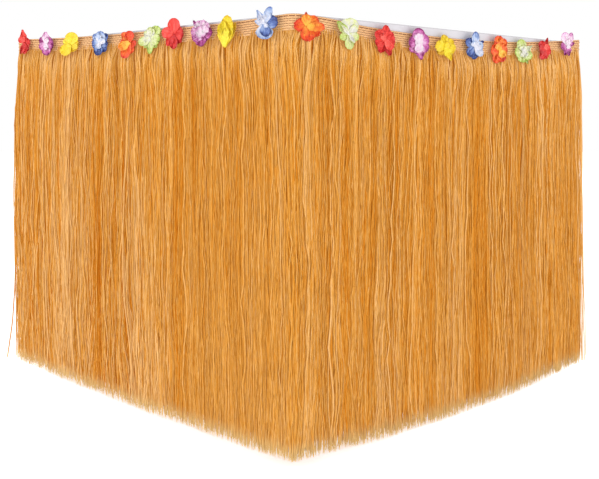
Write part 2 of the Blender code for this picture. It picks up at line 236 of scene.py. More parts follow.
# The petals of each flower as the camera sees them, in steps of its view, which is 599 of them
# wide: each tip to the right of and above the flower's place, and the petal's width. Then how deep
# its dye is at the throat and at the rim (0 pale, 1 deep), its lift off the wall in degrees, and
# how pointed it is. Later petals lie in front of earlier ones.
VIEW_STEPS = 599
Petal = namedtuple("Petal", "right up width root rim lift point", defaults=(0.0,))
FLOWER_PETALS = [
    [  # 1, red
        (-1.4, 12.6, 7.0, 0.45, 0.40, 14, 0.5),
        (3.6, -9.5, 6.5, 0.70, 0.80, 8, 0.3),
        (4.6, 3.0, 9.5, 0.60, 0.75, 10),
        (-4.4, 5.2, 8.0, 0.40, 0.45, 20),
        (-4.2, -12.8, 5.0, 0.65, 0.80, 16, 0.5),
        (-0.4, -12.4, 7.5, 0.85, 0.65, 14, 0.2),
    ],
    [  # 2, purple
        (4.5, -8.0, 6.5, 0.40, 0.75, 8),
        (-6.5, 6.0, 8.5, 0.60, 0.90, 10),
        (-7.0, -5.5, 8.5, 0.20, 0.75, 18),
        (-0.5, -12.2, 9.5, 0.10, 1.00, 14),
        (-0.6, 12.2, 8.5, 0.05, 0.40, 16, 0.4),
        (7.4, 0.5, 12.5, 0.40, 1.05, 18),
        (0.5, 6.5, 5.5, 0.00, 0.10, 28, 0.3),
        (-1.0, -6.5, 5.5, 0.00, 0.12, 28, 0.3),
    ],
    [  # 3, yellow
        (6.0, -6.5, 9.5, 0.50, 0.80, 8),
        (9.4, 2.5, 12.5, 0.50, 0.75, 10),
        (-4.8, 6.0, 9.0, 0.20, 0.25, 18),
        (4.5, 12.4, 13.0, 0.25, 0.50, 14),
        (-8.0, -10.0, 11.5, 0.45, 0.50, 16),
    ],
    [  # 4, blue
        (5.2, -8.5, 8.5, 0.35, 1.00, 8),
        (8.4, 1.0, 9.5, 0.30, 1.05, 10),
        (7.6, 10.0, 7.5, 0.30, 0.95, 10),
        (-5.8, 10.0, 8.5, 0.15, 0.55, 14),
        (-8.5, -1.5, 12.0, 0.20, 0.90, 20),
        (-3.2, -12.6, 9.0, 0.45, 1.10, 14),
        (1.2, 12.8, 10.5, 0.05, 0.50, 18),
        (4.6, 5.0, 7.0, 0.00, 0.15, 28),
        (-3.4, -5.4, 6.5, 0.00, 0.20, 30),
    ],
    [  # 5, orange
        (-6.6, 2.5, 7.5, 0.45, 0.70, 8),
        (4.2, -9.0, 8.0, 0.60, 0.70, 6),
        (-4.0, 12.4, 8.0, 0.40, 0.60, 12),
        (8.3, -2.0, 10.0, 0.75, 0.88, 10),
        (3.0, 14.0, 9.5, 0.65, 0.92, 18),
        (-3.8, -14.2, 10.5, 0.62, 0.72, 12),
        (-8.4, -4.5, 9.5, 0.10, 0.22, 26),
    ],
    [  # 6, green
        (-5.5, -8.5, 6.5, 0.20, 0.65, 8),
        (7.0, -8.5, 7.5, 0.35, 0.75, 8),
        (-4.8, 8.5, 7.5, 0.05, 0.30, 14),
        (10.0, 13.6, 10.5, 0.30, 0.60, 10),
        (1.5, 13.0, 8.5, 0.00, 0.40, 18),
        (0.0, -14.8, 8.0, 0.20, 0.80, 12, 0.3),
        (10.4, -2.0, 12.5, 0.15, 0.80, 14),
        (-11.2, -4.5, 9.5, 0.05, 0.60, 22),
    ],
    [  # 7, red
        (7.6, -9.5, 9.5, 0.75, 0.85, 6),
        (-6.3, -12.8, 7.0, 0.50, 0.50, 10),
        (10.7, 1.0, 14.0, 0.60, 0.75, 8),
        (0.5, -15.8, 9.0, 0.75, 0.80, 12),
        (-11.4, 1.2, 12.0, 0.40, 0.25, 16),
        (1.6, 15.8, 12.5, 0.45, 0.30, 12),
    ],
    [  # 8, purple
        (-9.0, 13.6, 5.5, 0.30, 0.80, 10, 0.4),
        (5.5, -9.0, 9.0, 0.75, 1.00, 6),
        (-2.0, -14.6, 11.5, 0.60, 0.90, 8),
        (11.5, 2.0, 12.5, 0.50, 1.00, 10),
        (-9.6, -8.0, 11.0, 0.15, 0.75, 14),
        (-11.4, 3.0, 11.5, 0.05, 0.50, 18),
        (1.0, 13.8, 15.5, 0.00, 0.28, 16),
        (6.5, 7.5, 9.5, 0.00, 0.30, 26),
        (-5.5, -7.5, 9.0, 0.00, 0.62, 30),
        (-6.0, 5.5, 9.0, 0.00, 0.45, 32),
        (3.0, -4.5, 7.5, 0.00, 0.55, 38),
    ],
    [  # 9, yellow
        (7.9, 9.5, 8.0, 0.35, 0.80, 5),
        (-7.7, 8.5, 9.0, 0.15, 0.30, 8),
        (0.5, 16.7, 13.5, 0.15, 0.40, 8),
        (-4.6, 12.0, 8.0, 0.10, 0.20, 11),
        (4.4, 10.5, 8.5, 0.15, 0.35, 12),
        (-1.0, 5.5, 8.0, 0.05, 0.20, 16),
    ],
    [  # 10, blue
        (-12.0, 2.0, 6.5, 0.00, 0.20, 10, 0.4),
        (-9.4, 13.2, 8.5, 0.00, 0.28, 14, 0.7),
        (-1.5, -16.6, 17.5, 0.20, 0.35, 14),
        (12.0, 3.0, 13.5, 0.45, 1.00, 12),
        (5.0, 16.6, 8.5, 0.05, 0.45, 14),
        (0.2, -14.2, 10.5, 0.45, 0.95, 24),
        (-6.0, 6.0, 5.0, 0.00, 0.05, 28, 0.4),
        (2.0, -4.5, 5.0, 0.00, 0.10, 30, 0.2),
    ],
    [  # 11, orange
        (-3.5, 15.6, 4.0, 0.30, 0.90, 6),
        (-11.0, -6.5, 9.0, 0.50, 0.80, 6),
        (11.5, -9.0, 10.5, 0.35, 0.70, 6),
        (-10.0, 8.5, 9.5, 0.30, 0.60, 10),
        (9.0, 9.8, 12.0, 0.15, 0.62, 10),
        (-16.5, 2.0, 13.0, 0.45, 0.92, 14),
        (-1.0, -15.8, 15.5, 0.40, 0.88, 12),
        (16.4, -1.0, 10.5, 0.05, 0.62, 14),
        (-4.0, 13.4, 10.5, 0.05, 0.30, 20),
        (6.5, -2.0, 8.5, 0.00, 0.15, 34),
    ],
    [  # 12, green
        (1.0, 16.2, 19.0, 0.00, 0.20, 8),
        (9.2, 8.5, 8.0, 0.00, 0.25, 12),
        (-8.5, -4.5, 8.5, 0.55, 0.65, 8),
        (1.5, -16.2, 9.5, 0.30, 0.50, 10),
        (10.8, -5.0, 9.5, 0.20, 0.55, 12),
        (-11.2, 12.6, 8.5, 0.40, 0.70, 14, 0.3),
        (7.0, -9.5, 4.5, 0.00, 0.05, 30, 0.4),
        (-6.5, 9.0, 4.5, 0.00, 0.12, 34, 0.6),
    ],
    [  # 13, red
        (7.5, 8.5, 9.5, 0.60, 0.60, 8),
        (-5.5, -12.5, 9.5, 0.60, 0.65, 8),
        (0.5, 16.2, 12.5, 0.45, 0.55, 12, 0.5),
        (10.6, -1.0, 13.5, 0.50, 0.62, 10),
        (5.5, -16.2, 8.5, 0.80, 1.00, 10, 0.3),
        (-10.4, -3.0, 12.5, 0.50, 0.60, 14),
        (-9.6, 10.2, 11.0, 0.35, 0.55, 16),
        (8.0, -9.5, 9.0, 0.10, 0.25, 28),
        (-5.5, 7.0, 5.0, 0.10, 0.15, 34, 0.5),
    ],
    [  # 14, purple
        (-8.5, -8.0, 10.0, 0.30, 0.65, 8),
        (9.2, -7.5, 11.5, 0.45, 1.05, 10),
        (2.5, -16.4, 11.5, 0.25, 0.75, 12, 0.6),
        (9.4, 7.5, 12.5, 0.35, 0.85, 12),
        (-10.4, 4.0, 13.0, 0.35, 1.05, 16),
        (-1.0, 16.4, 12.5, 0.25, 0.85, 14),
        (-4.2, 0.6, 7.5, 0.00, 0.10, 22),
        (4.4, 0.8, 7.5, 0.00, 0.10, 22),
        (0.3, -9.0, 9.5, 0.00, 0.08, 26),
        (0.0, 11.0, 9.5, 0.00, 0.10, 28),
    ],
    [  # 15, yellow
        (-7.5, -6.5, 9.5, 0.55, 0.95, 6),
        (7.6, 8.5, 9.5, 0.40, 0.60, 8),
        (-2.0, 13.6, 8.5, 0.45, 0.60, 12),
        (10.4, -3.0, 12.5, 0.40, 0.60, 12),
        (-10.4, 2.5, 12.0, 0.30, 0.55, 14),
        (6.2, -13.6, 8.5, 0.10, 0.45, 18, 0.6),
        (4.5, 5.0, 7.0, 0.30, 0.75, 30),
    ],
    [  # 16, blue
        (8.6, 4.8, 4.0, 0.80, 1.05, 6),
        (-1.0, -14.2, 8.5, 0.60, 0.95, 6),
        (8.4, 0.0, 10.0, 0.00, 0.40, 10),
        (-9.2, 6.5, 9.5, 0.40, 0.95, 10),
        (-6.5, -10.5, 11.0, 0.60, 0.98, 12),
        (0.4, 14.2, 7.5, 0.05, 0.60, 20),
        (7.4, -10.5, 8.0, 0.00, 0.15, 22),
        (-2.5, 4.0, 6.5, 0.00, 0.20, 32),
    ],
    [  # 17, orange
        (4.2, -13.6, 8.5, 0.85, 1.05, 6),
        (-4.0, -14.2, 10.0, 0.50, 0.70, 8),
        (5.4, 11.0, 9.0, 0.40, 0.62, 10),
        (-1.6, 14.5, 9.5, 0.40, 0.60, 12),
        (-8.4, 2.0, 13.5, 0.50, 0.68, 14),
        (8.4, 0.5, 12.0, 0.40, 0.62, 14),
        (5.4, -8.4, 9.0, 0.00, 0.14, 24),
        (-2.6, 6.0, 7.5, 0.10, 0.32, 28),
    ],
    [  # 18, green
        (3.6, -13.4, 4.5, 0.30, 0.55, 6, 0.5),
        (-1.0, -11.6, 12.5, 0.25, 0.80, 10),
        (7.6, -7.5, 9.0, 0.20, 0.65, 8),
        (-10.2, -0.5, 12.5, 0.15, 0.65, 16),
        (6.4, 1.0, 9.5, 0.10, 0.50, 12),
        (-5.2, 12.6, 9.5, 0.25, 0.60, 12),
        (8.4, 6.0, 5.5, 0.00, 0.10, 20, 0.8),
        (0.5, -6.5, 8.5, 0.00, 0.18, 30),
        (-1.5, 6.5, 8.5, 0.00, 0.25, 32),
    ],
    [  # 19, red
        (2.6, 11.6, 4.5, 0.60, 0.95, 6, 0.5),
        (1.0, -10.5, 7.0, 0.50, 0.65, 6),
        (5.2, -6.0, 8.0, 0.45, 0.60, 10),
        (-5.2, 7.8, 7.5, 0.60, 0.80, 10),
        (-3.4, -11.2, 7.0, 0.70, 0.80, 12),
        (-5.8, -0.5, 9.5, 0.75, 0.90, 16),
        (4.6, 3.5, 7.5, 0.05, 0.20, 24),
    ],
    [  # 20, purple
        (1.2, -12.2, 6.0, 0.60, 0.90, 6, 0.5),
        (-3.2, -11.5, 7.0, 0.50, 0.95, 8, 0.5),
        (6.6, 1.0, 5.5, 0.40, 1.05, 8, 0.5),
        (-7.2, -3.0, 8.5, 0.45, 0.90, 12),
        (3.4, 11.6, 7.5, 0.05, 0.50, 12, 0.3),
        (-4.6, 11.8, 9.5, 0.00, 0.25, 18),
        (1.2, -5.0, 5.0, 0.00, 0.20, 26),
        (0.8, 5.0, 5.5, 0.00, 0.10, 30),
    ],
]

# A petal's form: its width at the throat and where it is widest, as shares, how round its tip is,
# how much its edges cup and its tip droops, its pleats, its gap to the petal beneath, and the
# lowest that it lies.
PETAL_ROWS = 12
PETAL_COLUMNS = 12
PETAL_NECK = 0.36
PETAL_WIDEST = 0.62
PETAL_ROUND = 0.50
PETAL_CUP = 0.12
PETAL_DROOP = 0.35
PETAL_PLEATS = 11.0
PETAL_PLEAT_DEPTH = 0.0008
PETAL_GAP = 0.0005
PETAL_LOWEST = 0.0008
PINKED_TEETH = 7.0
SILK_THICKNESS = 0.00035

# How far off the band a flower's throat is sewn and its face is drawn, and the knot that holds it
FLOWER_STAND_OFF = 0.0050
FLOWER_FACE = 0.0120
THROAT_RADIUS = 0.0020
STALK_RADIUS = 0.0024
STALK_SIDES = 12

# Camera, from the table top's front corner at floor level
CAMERA_FROM_CORNER = Vector((1.1461, -1.1079, 0.5935))
CAMERA_TURN = 45.62
CAMERA_DIP = 5.37
CAMERA_LENS = 58.53
CAMERA_SENSOR = 36.0
CAMERA_SHIFT = -0.05

# Floor and lamps
FLOOR_REACH = 14.0
LAMP_WIDTH = 3.4
LAMP_AIM = Vector((0.0, 0.0, 0.45))


# ---- Node trees written as sums ----


class Graph:
    """A node tree being built. add() makes any node: its settings are set first, then its sockets
    are given their values or wires."""

    def __init__(self, tree):
        self.tree = tree

    def add(self, kind, inputs=None, output=0, **settings):
        node = self.tree.nodes.new(kind)
        for name, value in settings.items():
            if name == "stops":
                self.set_stops(node.color_ramp, value)
            else:
                setattr(node, name, value)
        for name, value in (inputs or {}).items():
            target = find_socket(node.inputs, name)
            if isinstance(value, Wire):
                self.tree.links.new(value.output, target)
            else:
                target.default_value = value
        return Wire(self, find_socket(node.outputs, output))

    def math(self, operation, *terms, clamp=False):
        terms = dict(enumerate(terms))
        return self.add("ShaderNodeMath", terms, operation=operation, use_clamp=clamp)

    @staticmethod
    def set_stops(ramp, stops):
        while len(ramp.elements) < len(stops):
            ramp.elements.new(1.0)
        for element, (place, colour) in zip(ramp.elements, stops):
            element.position = place
            element.color = (*colour, 1.0)


def find_socket(sockets, name):
    if isinstance(name, int):
        return sockets[name]
    return next(socket for socket in sockets if socket.name == name and socket.enabled)


def math_node(operation, swapped=False):
    """The way to write one Math node between a wire and a number or another wire."""

    def write(wire, other):
        terms = (other, wire) if swapped else (wire, other)
        return wire.graph.math(operation, *terms)

    return write


class Wire:
    """One output in a node tree. Sums written with it add the Math nodes that work them out."""

    def __init__(self, graph, output):
        self.graph = graph
        self.output = output

    def beside(self, name):
        """Another output of the same node."""
        return Wire(self.graph, find_socket(self.output.node.outputs, name))

    __add__ = math_node("ADD")
    __radd__ = math_node("ADD", swapped=True)
    __sub__ = math_node("SUBTRACT")
    __rsub__ = math_node("SUBTRACT", swapped=True)
    __mul__ = math_node("MULTIPLY")
    __rmul__ = math_node("MULTIPLY", swapped=True)
    __truediv__ = math_node("DIVIDE")
    __rtruediv__ = math_node("DIVIDE", swapped=True)
    __mod__ = math_node("FLOORED_MODULO")
    __pow__ = math_node("POWER")
    at_most = math_node("MINIMUM")
    at_least = math_node("MAXIMUM")

    def __neg__(self):
        return self * -1.0

    def __abs__(self):
        return self.graph.math("ABSOLUTE", self)

    def floor(self):
        return self.graph.math("FLOOR", self)

    def cosine(self):
        return self.graph.math("COSINE", self)

    def clamped(self):
        return self.graph.math("ADD", self, 0.0, clamp=True)

    def eased(self, low, high):
        """A smooth step from 0 at low to 1 at high."""
        inputs = {"Value": self, "From Min": low, "From Max": high}
        return self.graph.add("ShaderNodeMapRange", inputs, interpolation_type="SMOOTHSTEP")


# ---- The skirt's form ----


def smooth_value(rows, at):
    """Reads a two-column table at a place between its rows, on a curve through them."""
    at = min(max(at, rows[0][0]), rows[-1][0])
    span = 0
    while span < len(rows) - 2 and at > rows[span + 1][0]:
        span += 1
    before, start, end, after = (
        rows[min(max(span + step, 0), len(rows) - 1)] for step in (-1, 0, 1, 2)
    )
    width = end[0] - start[0]
    share = (at - start[0]) / width
    slope_start = (end[1] - before[1]) / (end[0] - before[0]) * width
    slope_end = (after[1] - start[1]) / (after[0] - start[0]) * width
    return (
        start[1] * (2 * share**3 - 3 * share**2 + 1)
        + slope_start * (share**3 - 2 * share**2 + share)
        + end[1] * (3 * share**2 - 2 * share**3)
        + slope_end * (share**3 - share**2)
    )


def wall_of(station):
    return SIDE if station > 0 else FRONT


def past_corner(station):
    """How far a station is along its wall from the corner's rounding."""
    return max(0.0, abs(station) - CORNER_RUN / 2)


def band_top(station):
    return TABLE_HEIGHT - smooth_value(BAND_SAG[wall_of(station)], past_corner(station))


def plan_point(station, out, spread, corner):
    """The plan position of a station, `out` from the table top's edge, with a rounded corner."""
    half = TOP_SIDE / 2
    centre = Vector((half + out - corner, corner - half - out))
    share = min(1.0, abs(station) / (CORNER_RUN / 2))
    angle = (wall_of(station) * share - 1) * math.pi / 4
    reach = past_corner(station) / TOP_SIDE * (TOP_SIDE + out + spread - corner)
    way = Vector((0, 1)) if wall_of(station) == SIDE else Vector((-1, 0))
    flat = centre + corner * Vector((math.cos(angle), math.sin(angle))) + reach * way
    return TABLE_CENTRE + flat.to_3d()


def hung_point(station, down, level, out, corner):
    """A point of the fringe, `out` from the table top's edge and `down` below the band."""
    spread = level.side_spread if wall_of(station) == SIDE else level.front_spread
    point = plan_point(station, out, spread, corner)
    point.z = band_top(station) - BAND_HEIGHT - down
    return point


def level_at(down):
    """The fringe's section at a depth, straight between the rows of its table."""
    span = 0
    while span < len(FRINGE_LEVELS) - 2 and down > FRINGE_LEVELS[span + 1].down:
        span += 1
    start, end = FRINGE_LEVELS[span], FRINGE_LEVELS[span + 1]
    share = max(0.0, (down - start.down) / (end.down - start.down))
    return Level(*(a + (b - a) * share for a, b in zip(start, end)))


def fold_depth(station, down):
    """How far the largest folds push the fringe's face out at one place."""
    total = 0.0
    for fold in FRINGE_FOLDS:
        away = abs(past_corner(station) - fold.along) / fold.width
        if fold.wall == wall_of(station) and away < 1:
            total += fold.depth * (1 + math.cos(math.pi * away)) / 2
    return total * min(1.0, max(0.0, down) / FRINGE_LENGTH) ** 0.7


def steps(low, high, count):
    return [low + (high - low) * i / count for i in range(count + 1)]


def skirt_stations(wall_steps, corner_steps):
    """Stations from the front wall's far end to the side wall's, closer together at the corner."""
    corner = CORNER_RUN / 2
    front = steps(-HALF_RUN, -corner, wall_steps)
    side = steps(corner, HALF_RUN, wall_steps)
    return front[:-1] + steps(-corner, corner, corner_steps) + side[1:]


def join_rows(shape, rows, rings=False):
    """Faces between each row of points and the next, all the way round where the rows are rings."""
    for lower, upper in zip(rows, rows[1:]):
        for j in range(0 if rings else 1, len(lower)):
            shape.faces.new((lower[j - 1], lower[j], upper[j], upper[j - 1]))


def make_guide_sheet():
    """The fringe's middle surface, which the strands lie along. Its map is the station and the depth
    as shares, its "room" is how far the strands may lie to either side of it, and its "fold" is -1
    in the deepest parting, where the strands get the most painted shade, and above 0 on the ridges,
    where they get painted light."""
    stations = skirt_stations(wall_steps=120, corner_steps=14)
    shape = bmesh.new()
    room = shape.verts.layers.float.new("room")
    fold = shape.verts.layers.float.new("fold")
    sheet_map = shape.loops.layers.uv.new("skirt")
    places = {}
    rows = []
    for share in steps(0.0, 1.0, 36):
        down = GUIDE_REACH * share**1.5 - GUIDE_RISE
        level = level_at(down)
        rows.append([])
        for station in stations:
            folded = fold_depth(station, down)
            half_room = (level.outer + folded - level.inner) / 2
            middle = level.inner + half_room
            corner = level.corner - half_room / 2
            vert = shape.verts.new(hung_point(station, down, level, middle, corner))
            vert[room] = half_room
            vert[fold] = folded / DEEPEST_FOLD
            across = (station + HALF_RUN) / (2 * HALF_RUN)
            places[vert] = (across, (down + GUIDE_RISE) / GUIDE_REACH)
            rows[-1].append(vert)
    join_rows(shape, rows[::-1])
    for face in shape.faces:
        for loop in face.loops:
            loop[sheet_map].uv = places[loop.vert]
    return add_mesh("guide_sheet", shape)


# ---- Making pieces ----


def add_object(name, data):
    """A new object in the scene, from a mesh, a light or a camera."""
    made = bpy.data.objects.new(name, data)
    bpy.context.scene.collection.objects.link(made)
    return made


def add_mesh(name, shape, smooth=True):
    """Makes a named object from a bmesh."""
    mesh = bpy.data.meshes.new(name)
    shape.to_mesh(mesh)
    shape.free()
    if smooth:
        mesh.shade_smooth()
    return add_object(name, mesh)


def plain_mesh(source, name):
    """A new piece from what the source's modifiers make of it, as a plain mesh."""
    bpy.context.view_layer.update()
    evaluated = source.evaluated_get(bpy.context.evaluated_depsgraph_get())
    mesh = bpy.data.meshes.new_from_object(evaluated)
    mesh.name = name
    return add_object(name, mesh)


def new_geometry_graph(name, sizes):
    """An empty Geometry Nodes tree with these named inputs, and the wires that bring them in."""
    tree = bpy.data.node_groups.new(name, "GeometryNodeTree")
    tree.interface.new_socket("Geometry", in_out="OUTPUT", socket_type="NodeSocketGeometry")
    tree.interface.new_socket("Geometry", in_out="INPUT", socket_type="NodeSocketGeometry")
    for size, kind in sizes.items():
        tree.interface.new_socket(size, in_out="INPUT", socket_type="NodeSocket" + kind)
    graph = Graph(tree)
    first = graph.add("NodeGroupInput")
    return graph, {name: first.beside(name) for name in ("Geometry", *sizes)}


def end_graph(graph, geometry, material):
    """Closes a tree: what it made is realised and given its material."""
    real = graph.add("GeometryNodeRealizeInstances", {"Geometry": geometry})
    done = graph.add("GeometryNodeSetMaterial", {"Geometry": real, "Material": material})
    end = graph.tree.nodes.new("NodeGroupOutput")
    graph.tree.links.new(done.output, end.inputs["Geometry"])
    return graph


def grow(source, graph, name, sizes):
    """Runs a Geometry Nodes tree on a source object and returns the piece that it makes."""
    modifier = source.modifiers.new(name, "NODES")
    modifier.node_group = graph.tree
    for size, value in sizes.items():
        modifier[graph.tree.interface.items_tree[size].identifier] = value
    piece = plain_mesh(source, name)
    source.modifiers.remove(modifier)
    return piece


def coat(piece, material):
    """Gives the whole piece one material."""
    piece.data.materials.clear()
    piece.data.materials.append(material)


def put_on(piece, slot, *nodes):
    """The piece rides on the part's one body in place of these solids, which are hidden."""
    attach(piece, "root")
    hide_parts(*nodes)
    return piece


# ---- Finishes ----


def new_finish(name, roughness, **fixed):
    """A material with its shader's fixed values set, and the graph to paint it with."""
    material = bpy.data.materials.new(name)
    material.use_nodes = True
    shader = material.node_tree.nodes["Principled BSDF"]
    shader.inputs["Roughness"].default_value = roughness
    for socket, value in fixed.items():
        shader.inputs[socket.replace("_", " ")].default_value = value
    return material, Graph(material.node_tree), shader


def paint(graph, shader, **wires):
    for socket, wire in wires.items():
        graph.tree.links.new(wire.output, shader.inputs[socket.replace("_", " ")])


def attribute(graph, name):
    return graph.add("ShaderNodeAttribute", output="Fac", attribute_name=name)


def own_place(graph):
    return graph.add("ShaderNodeTexCoord", output="Object")


def stretched(graph, scale):
    """The piece's own coordinates, scaled differently along each axis."""
    return graph.add("ShaderNodeMapping", {"Vector": own_place(graph), "Scale": scale})


def vector(graph, x=0.0, y=0.0, z=0.0):
    return graph.add("ShaderNodeCombineXYZ", {"X": x, "Y": y, "Z": z})


def part_of(graph, place, axis):
    return graph.add("ShaderNodeSeparateXYZ", {"Vector": place}, axis)


def speckle(graph, place, scale, detail=2.0):
    inputs = {"Vector": place, "Scale": scale, "Detail": detail}
    return graph.add("ShaderNodeTexNoise", inputs)


def mix(graph, share, first, second):
    inputs = {"Factor": share, "A": first, "B": second}
    return graph.add("ShaderNodeMix", inputs, "Result", data_type="RGBA")


def ramp(graph, shade, stops):
    return graph.add("ShaderNodeValToRGB", {"Fac": shade.clamped()}, "Color", stops=stops)


def colour(red, green, blue):
    return (red, green, blue, 1.0)


def bumped(graph, height, strength, distance):
    inputs = {"Height": height, "Strength": strength, "Distance": distance}
    return graph.add("ShaderNodeBump", inputs)


RAFFIA_DYE = [
    (0.05, (0.455, 0.112, 0.003)),
    (0.40, (0.556, 0.190, 0.011)),
    (0.70, (0.638, 0.297, 0.052)),
    (1.00, (0.745, 0.426, 0.164)),
]
DRY_TIP = colour(0.74, 0.55, 0.25)
SUNLIT_TIP = colour(0.80, 0.64, 0.30)
BLACK = colour(0.0, 0.0, 0.0)


def raffia_strand_finish():
    """Dyed raffia: each strand has its own tone, fine fibres along it, a dry tip and painted light.
    """
    material, graph, shader = new_finish(
        "raffia_strands", 0.5, Specular_IOR_Level=0.02, Emission_Strength=0.30
    )
    tint = attribute(graph, "tint")
    reach = attribute(graph, "reach")
    shoulder = attribute(graph, "shoulder")
    # Fibres run along the strand, a few of them across it, and differ from strand to strand.
    across = attribute(graph, "across") * 2.4
    strand = vector(graph, across, reach * 44.0, attribute(graph, "own") * 7.3)
    fibres = speckle(graph, strand, 1.6, 3.0)
    patches = speckle(graph, stretched(graph, (11.0, 11.0, 2.2)), 1.0)
    # The strand's own tone, painted patches of light over the fringe, its fibres, a painted
    # highlight on its shoulder where it leaves the band, and painted light growing slowly towards
    # the hem.
    shade = tint * 0.88 + patches * 0.24 + (fibres - 0.5) * 1.35 + shoulder * 0.26 - 0.09
    shade = shade + reach * reach * 0.12
    dyed = ramp(graph, shade, RAFFIA_DYE)
    raffia = mix(graph, reach.eased(0.958, 1.0) * 0.60, dyed, DRY_TIP)
    # A painted glow in the strands' own colour, paler at the tip, lifts their shade.
    glow = mix(graph, reach.eased(0.960, 1.0) * 0.5, raffia, SUNLIT_TIP)
    # Packed strands shade one another, so what they reflect is a little deeper than the dye.
    paint(
        graph,
        shader,
        Base_Color=mix(graph, 0.14, raffia, BLACK),
        Emission_Color=glow,
        Roughness=0.42 + fibres * 0.25,
        Normal=bumped(graph, fibres, 0.6, 0.0010),
    )
    return material


# Each braid's fibre grain, its two tones, and the colour of the painted shade in its seams.
Braid = namedtuple("Braid", "grain shaded lit seam")
BRAID_CORD = Braid(
    (150.0, 150.0, 2400.0),
    colour(0.53, 0.275, 0.120),
    colour(0.77, 0.480, 0.238),
    colour(0.25, 0.095, 0.040),
)
BRAID_THREAD = Braid(
    (2400.0, 2400.0, 150.0),
    colour(0.54, 0.280, 0.125),
    colour(0.79, 0.500, 0.252),
    colour(0.40, 0.185, 0.085),
)


def braid_finish(name, braid):
    """Dry plaited raffia between two tones, with fibres along the piece, painted shade in the seams
    between cords and along the threads' edges, a dark line along the top cord, and a painted glow in
    its own colour."""
    material, graph, shader = new_finish(
        name, 0.6, Specular_IOR_Level=0.2, Emission_Strength=0.22
    )
    fibres = speckle(graph, stretched(graph, braid.grain), 1.0)
    patches = speckle(graph, own_place(graph), 26.0)
    tone = (fibres * 0.8 + patches * 0.5 - 0.15).clamped()
    dry = mix(graph, tone, braid.shaded, braid.lit)
    across = attribute(graph, "across")
    # A darker line along the upper part of the top cord.
    top_dark_line = attribute(graph, "top") * across.eased(0.10, 0.45)
    # Painted shade in the seams between cords and along the threads' edges.
    seam_shade_mask = abs(across).eased(0.58, 0.96).at_least(top_dark_line)
    plaited = mix(graph, seam_shade_mask, dry, braid.seam)
    # A painted glow in the braid's own colour lifts its shade.
    paint(
        graph,
        shader,
        Base_Color=plaited,
        Emission_Color=plaited,
        Roughness=0.5 + fibres * 0.2,
        Normal=bumped(graph, fibres, 0.9, 0.0006),
    )
    return material


Dye = namedtuple("Dye", "heart middle rim deep")
SILK_DYES = {
    "red": Dye((0.76, 0.12, 0.09), (0.68, 0.042, 0.029), (0.56, 0.016, 0.013), (0.38, 0.008, 0.008)),
    "yellow": Dye((0.75, 0.60, 0.026), (0.72, 0.54, 0.016), (0.66, 0.44, 0.01), (0.52, 0.28, 0.008)),
    "orange": Dye((0.77, 0.42, 0.05), (0.74, 0.20, 0.02), (0.69, 0.07, 0.012), (0.52, 0.028, 0.007)),
    "purple": Dye((0.66, 0.58, 0.62), (0.66, 0.36, 0.56), (0.45, 0.085, 0.30), (0.21, 0.018, 0.12)),
    "blue": Dye((0.61, 0.60, 0.67), (0.33, 0.42, 0.61), (0.09, 0.15, 0.39), (0.022, 0.038, 0.16)),
    "green": Dye((0.60, 0.58, 0.54), (0.57, 0.60, 0.30), (0.42, 0.52, 0.115), (0.27, 0.37, 0.05)),
}
DYE_STOPS = (0.00, 0.34, 0.70, 1.00)


def silk_finish(name):
    """Silk dyed from the rim inwards, with the dye run along the petal's veins, and a painted glow.
    """
    material, graph, shader = new_finish(
        name + "_silk",
        0.5,
        Emission_Strength=0.09,
        Specular_IOR_Level=0.3,
        Sheen_Weight=0.08,
        Subsurface_Weight=0.3,
        Subsurface_Radius=(1.0, 1.0, 1.0),
        Subsurface_Scale=0.0012,
    )
    reach = attribute(graph, "reach")
    depth = attribute(graph, "dye")
    ray = vector(graph, attribute(graph, "vein") * 4.0, reach * 1.2)
    runs = speckle(graph, ray, 1.0)
    blots = speckle(graph, own_place(graph), 130.0)
    edge = abs(attribute(graph, "aside")).at_least(reach)
    rim = edge.eased(0.80, 1.0) * reach * 0.22
    spread = (runs - 0.5) * 0.9 + (blots - 0.5) * 0.7
    dyed = ramp(graph, depth + spread + rim, list(zip(DYE_STOPS, SILK_DYES[name])))
    weave = speckle(graph, own_place(graph), 1800.0)
    # A painted glow in the dye's own colour lifts the silk's shade.
    paint(
        graph,
        shader,
        Base_Color=dyed,
        Emission_Color=dyed,
        Roughness=0.42 + blots * 0.2,
        Normal=bumped(graph, weave, 0.25, 0.0003),
    )
    return material


def lacquer_finish():
    """White lacquer, clouded and rippled by the brush, with a painted grey line of shade under its
    top edge.
    """
    material, graph, shader = new_finish("white_lacquer", 0.35)
    clouds = speckle(graph, own_place(graph), 3.0)
    ripple = speckle(graph, own_place(graph), 160.0)
    height = part_of(graph, own_place(graph), "Z")
    # Painted shade: a thin grey line just under the top edge.
    below_top = height.eased(TABLE_HEIGHT - 0.0024, TABLE_HEIGHT - 0.0014)
    rim = below_top * (1.0 - height.eased(TABLE_HEIGHT - 0.0010, TABLE_HEIGHT - 0.0004)) * 0.5
    pale = mix(graph, clouds, colour(0.56, 0.54, 0.57), colour(0.60, 0.58, 0.61))
    paint(
        graph,
        shader,
        Base_Color=mix(graph, rim, pale, colour(0.36, 0.35, 0.36)),
        Roughness=0.30 + ripple * 0.14,
        Normal=bumped(graph, ripple, 0.12, 0.0005),
    )
    return material


# ---- Fields and sections that the trees share ----


def read(graph, name, kind="FLOAT"):
    """A stored attribute, as a field."""
    inputs = {"Name": name}
    return graph.add("GeometryNodeInputNamedAttribute", inputs, "Attribute", data_type=kind)


def store(graph, geometry, name, value, **settings):
    inputs = {"Geometry": geometry, "Name": name, "Value": value}
    return graph.add("GeometryNodeStoreNamedAttribute", inputs, **settings)


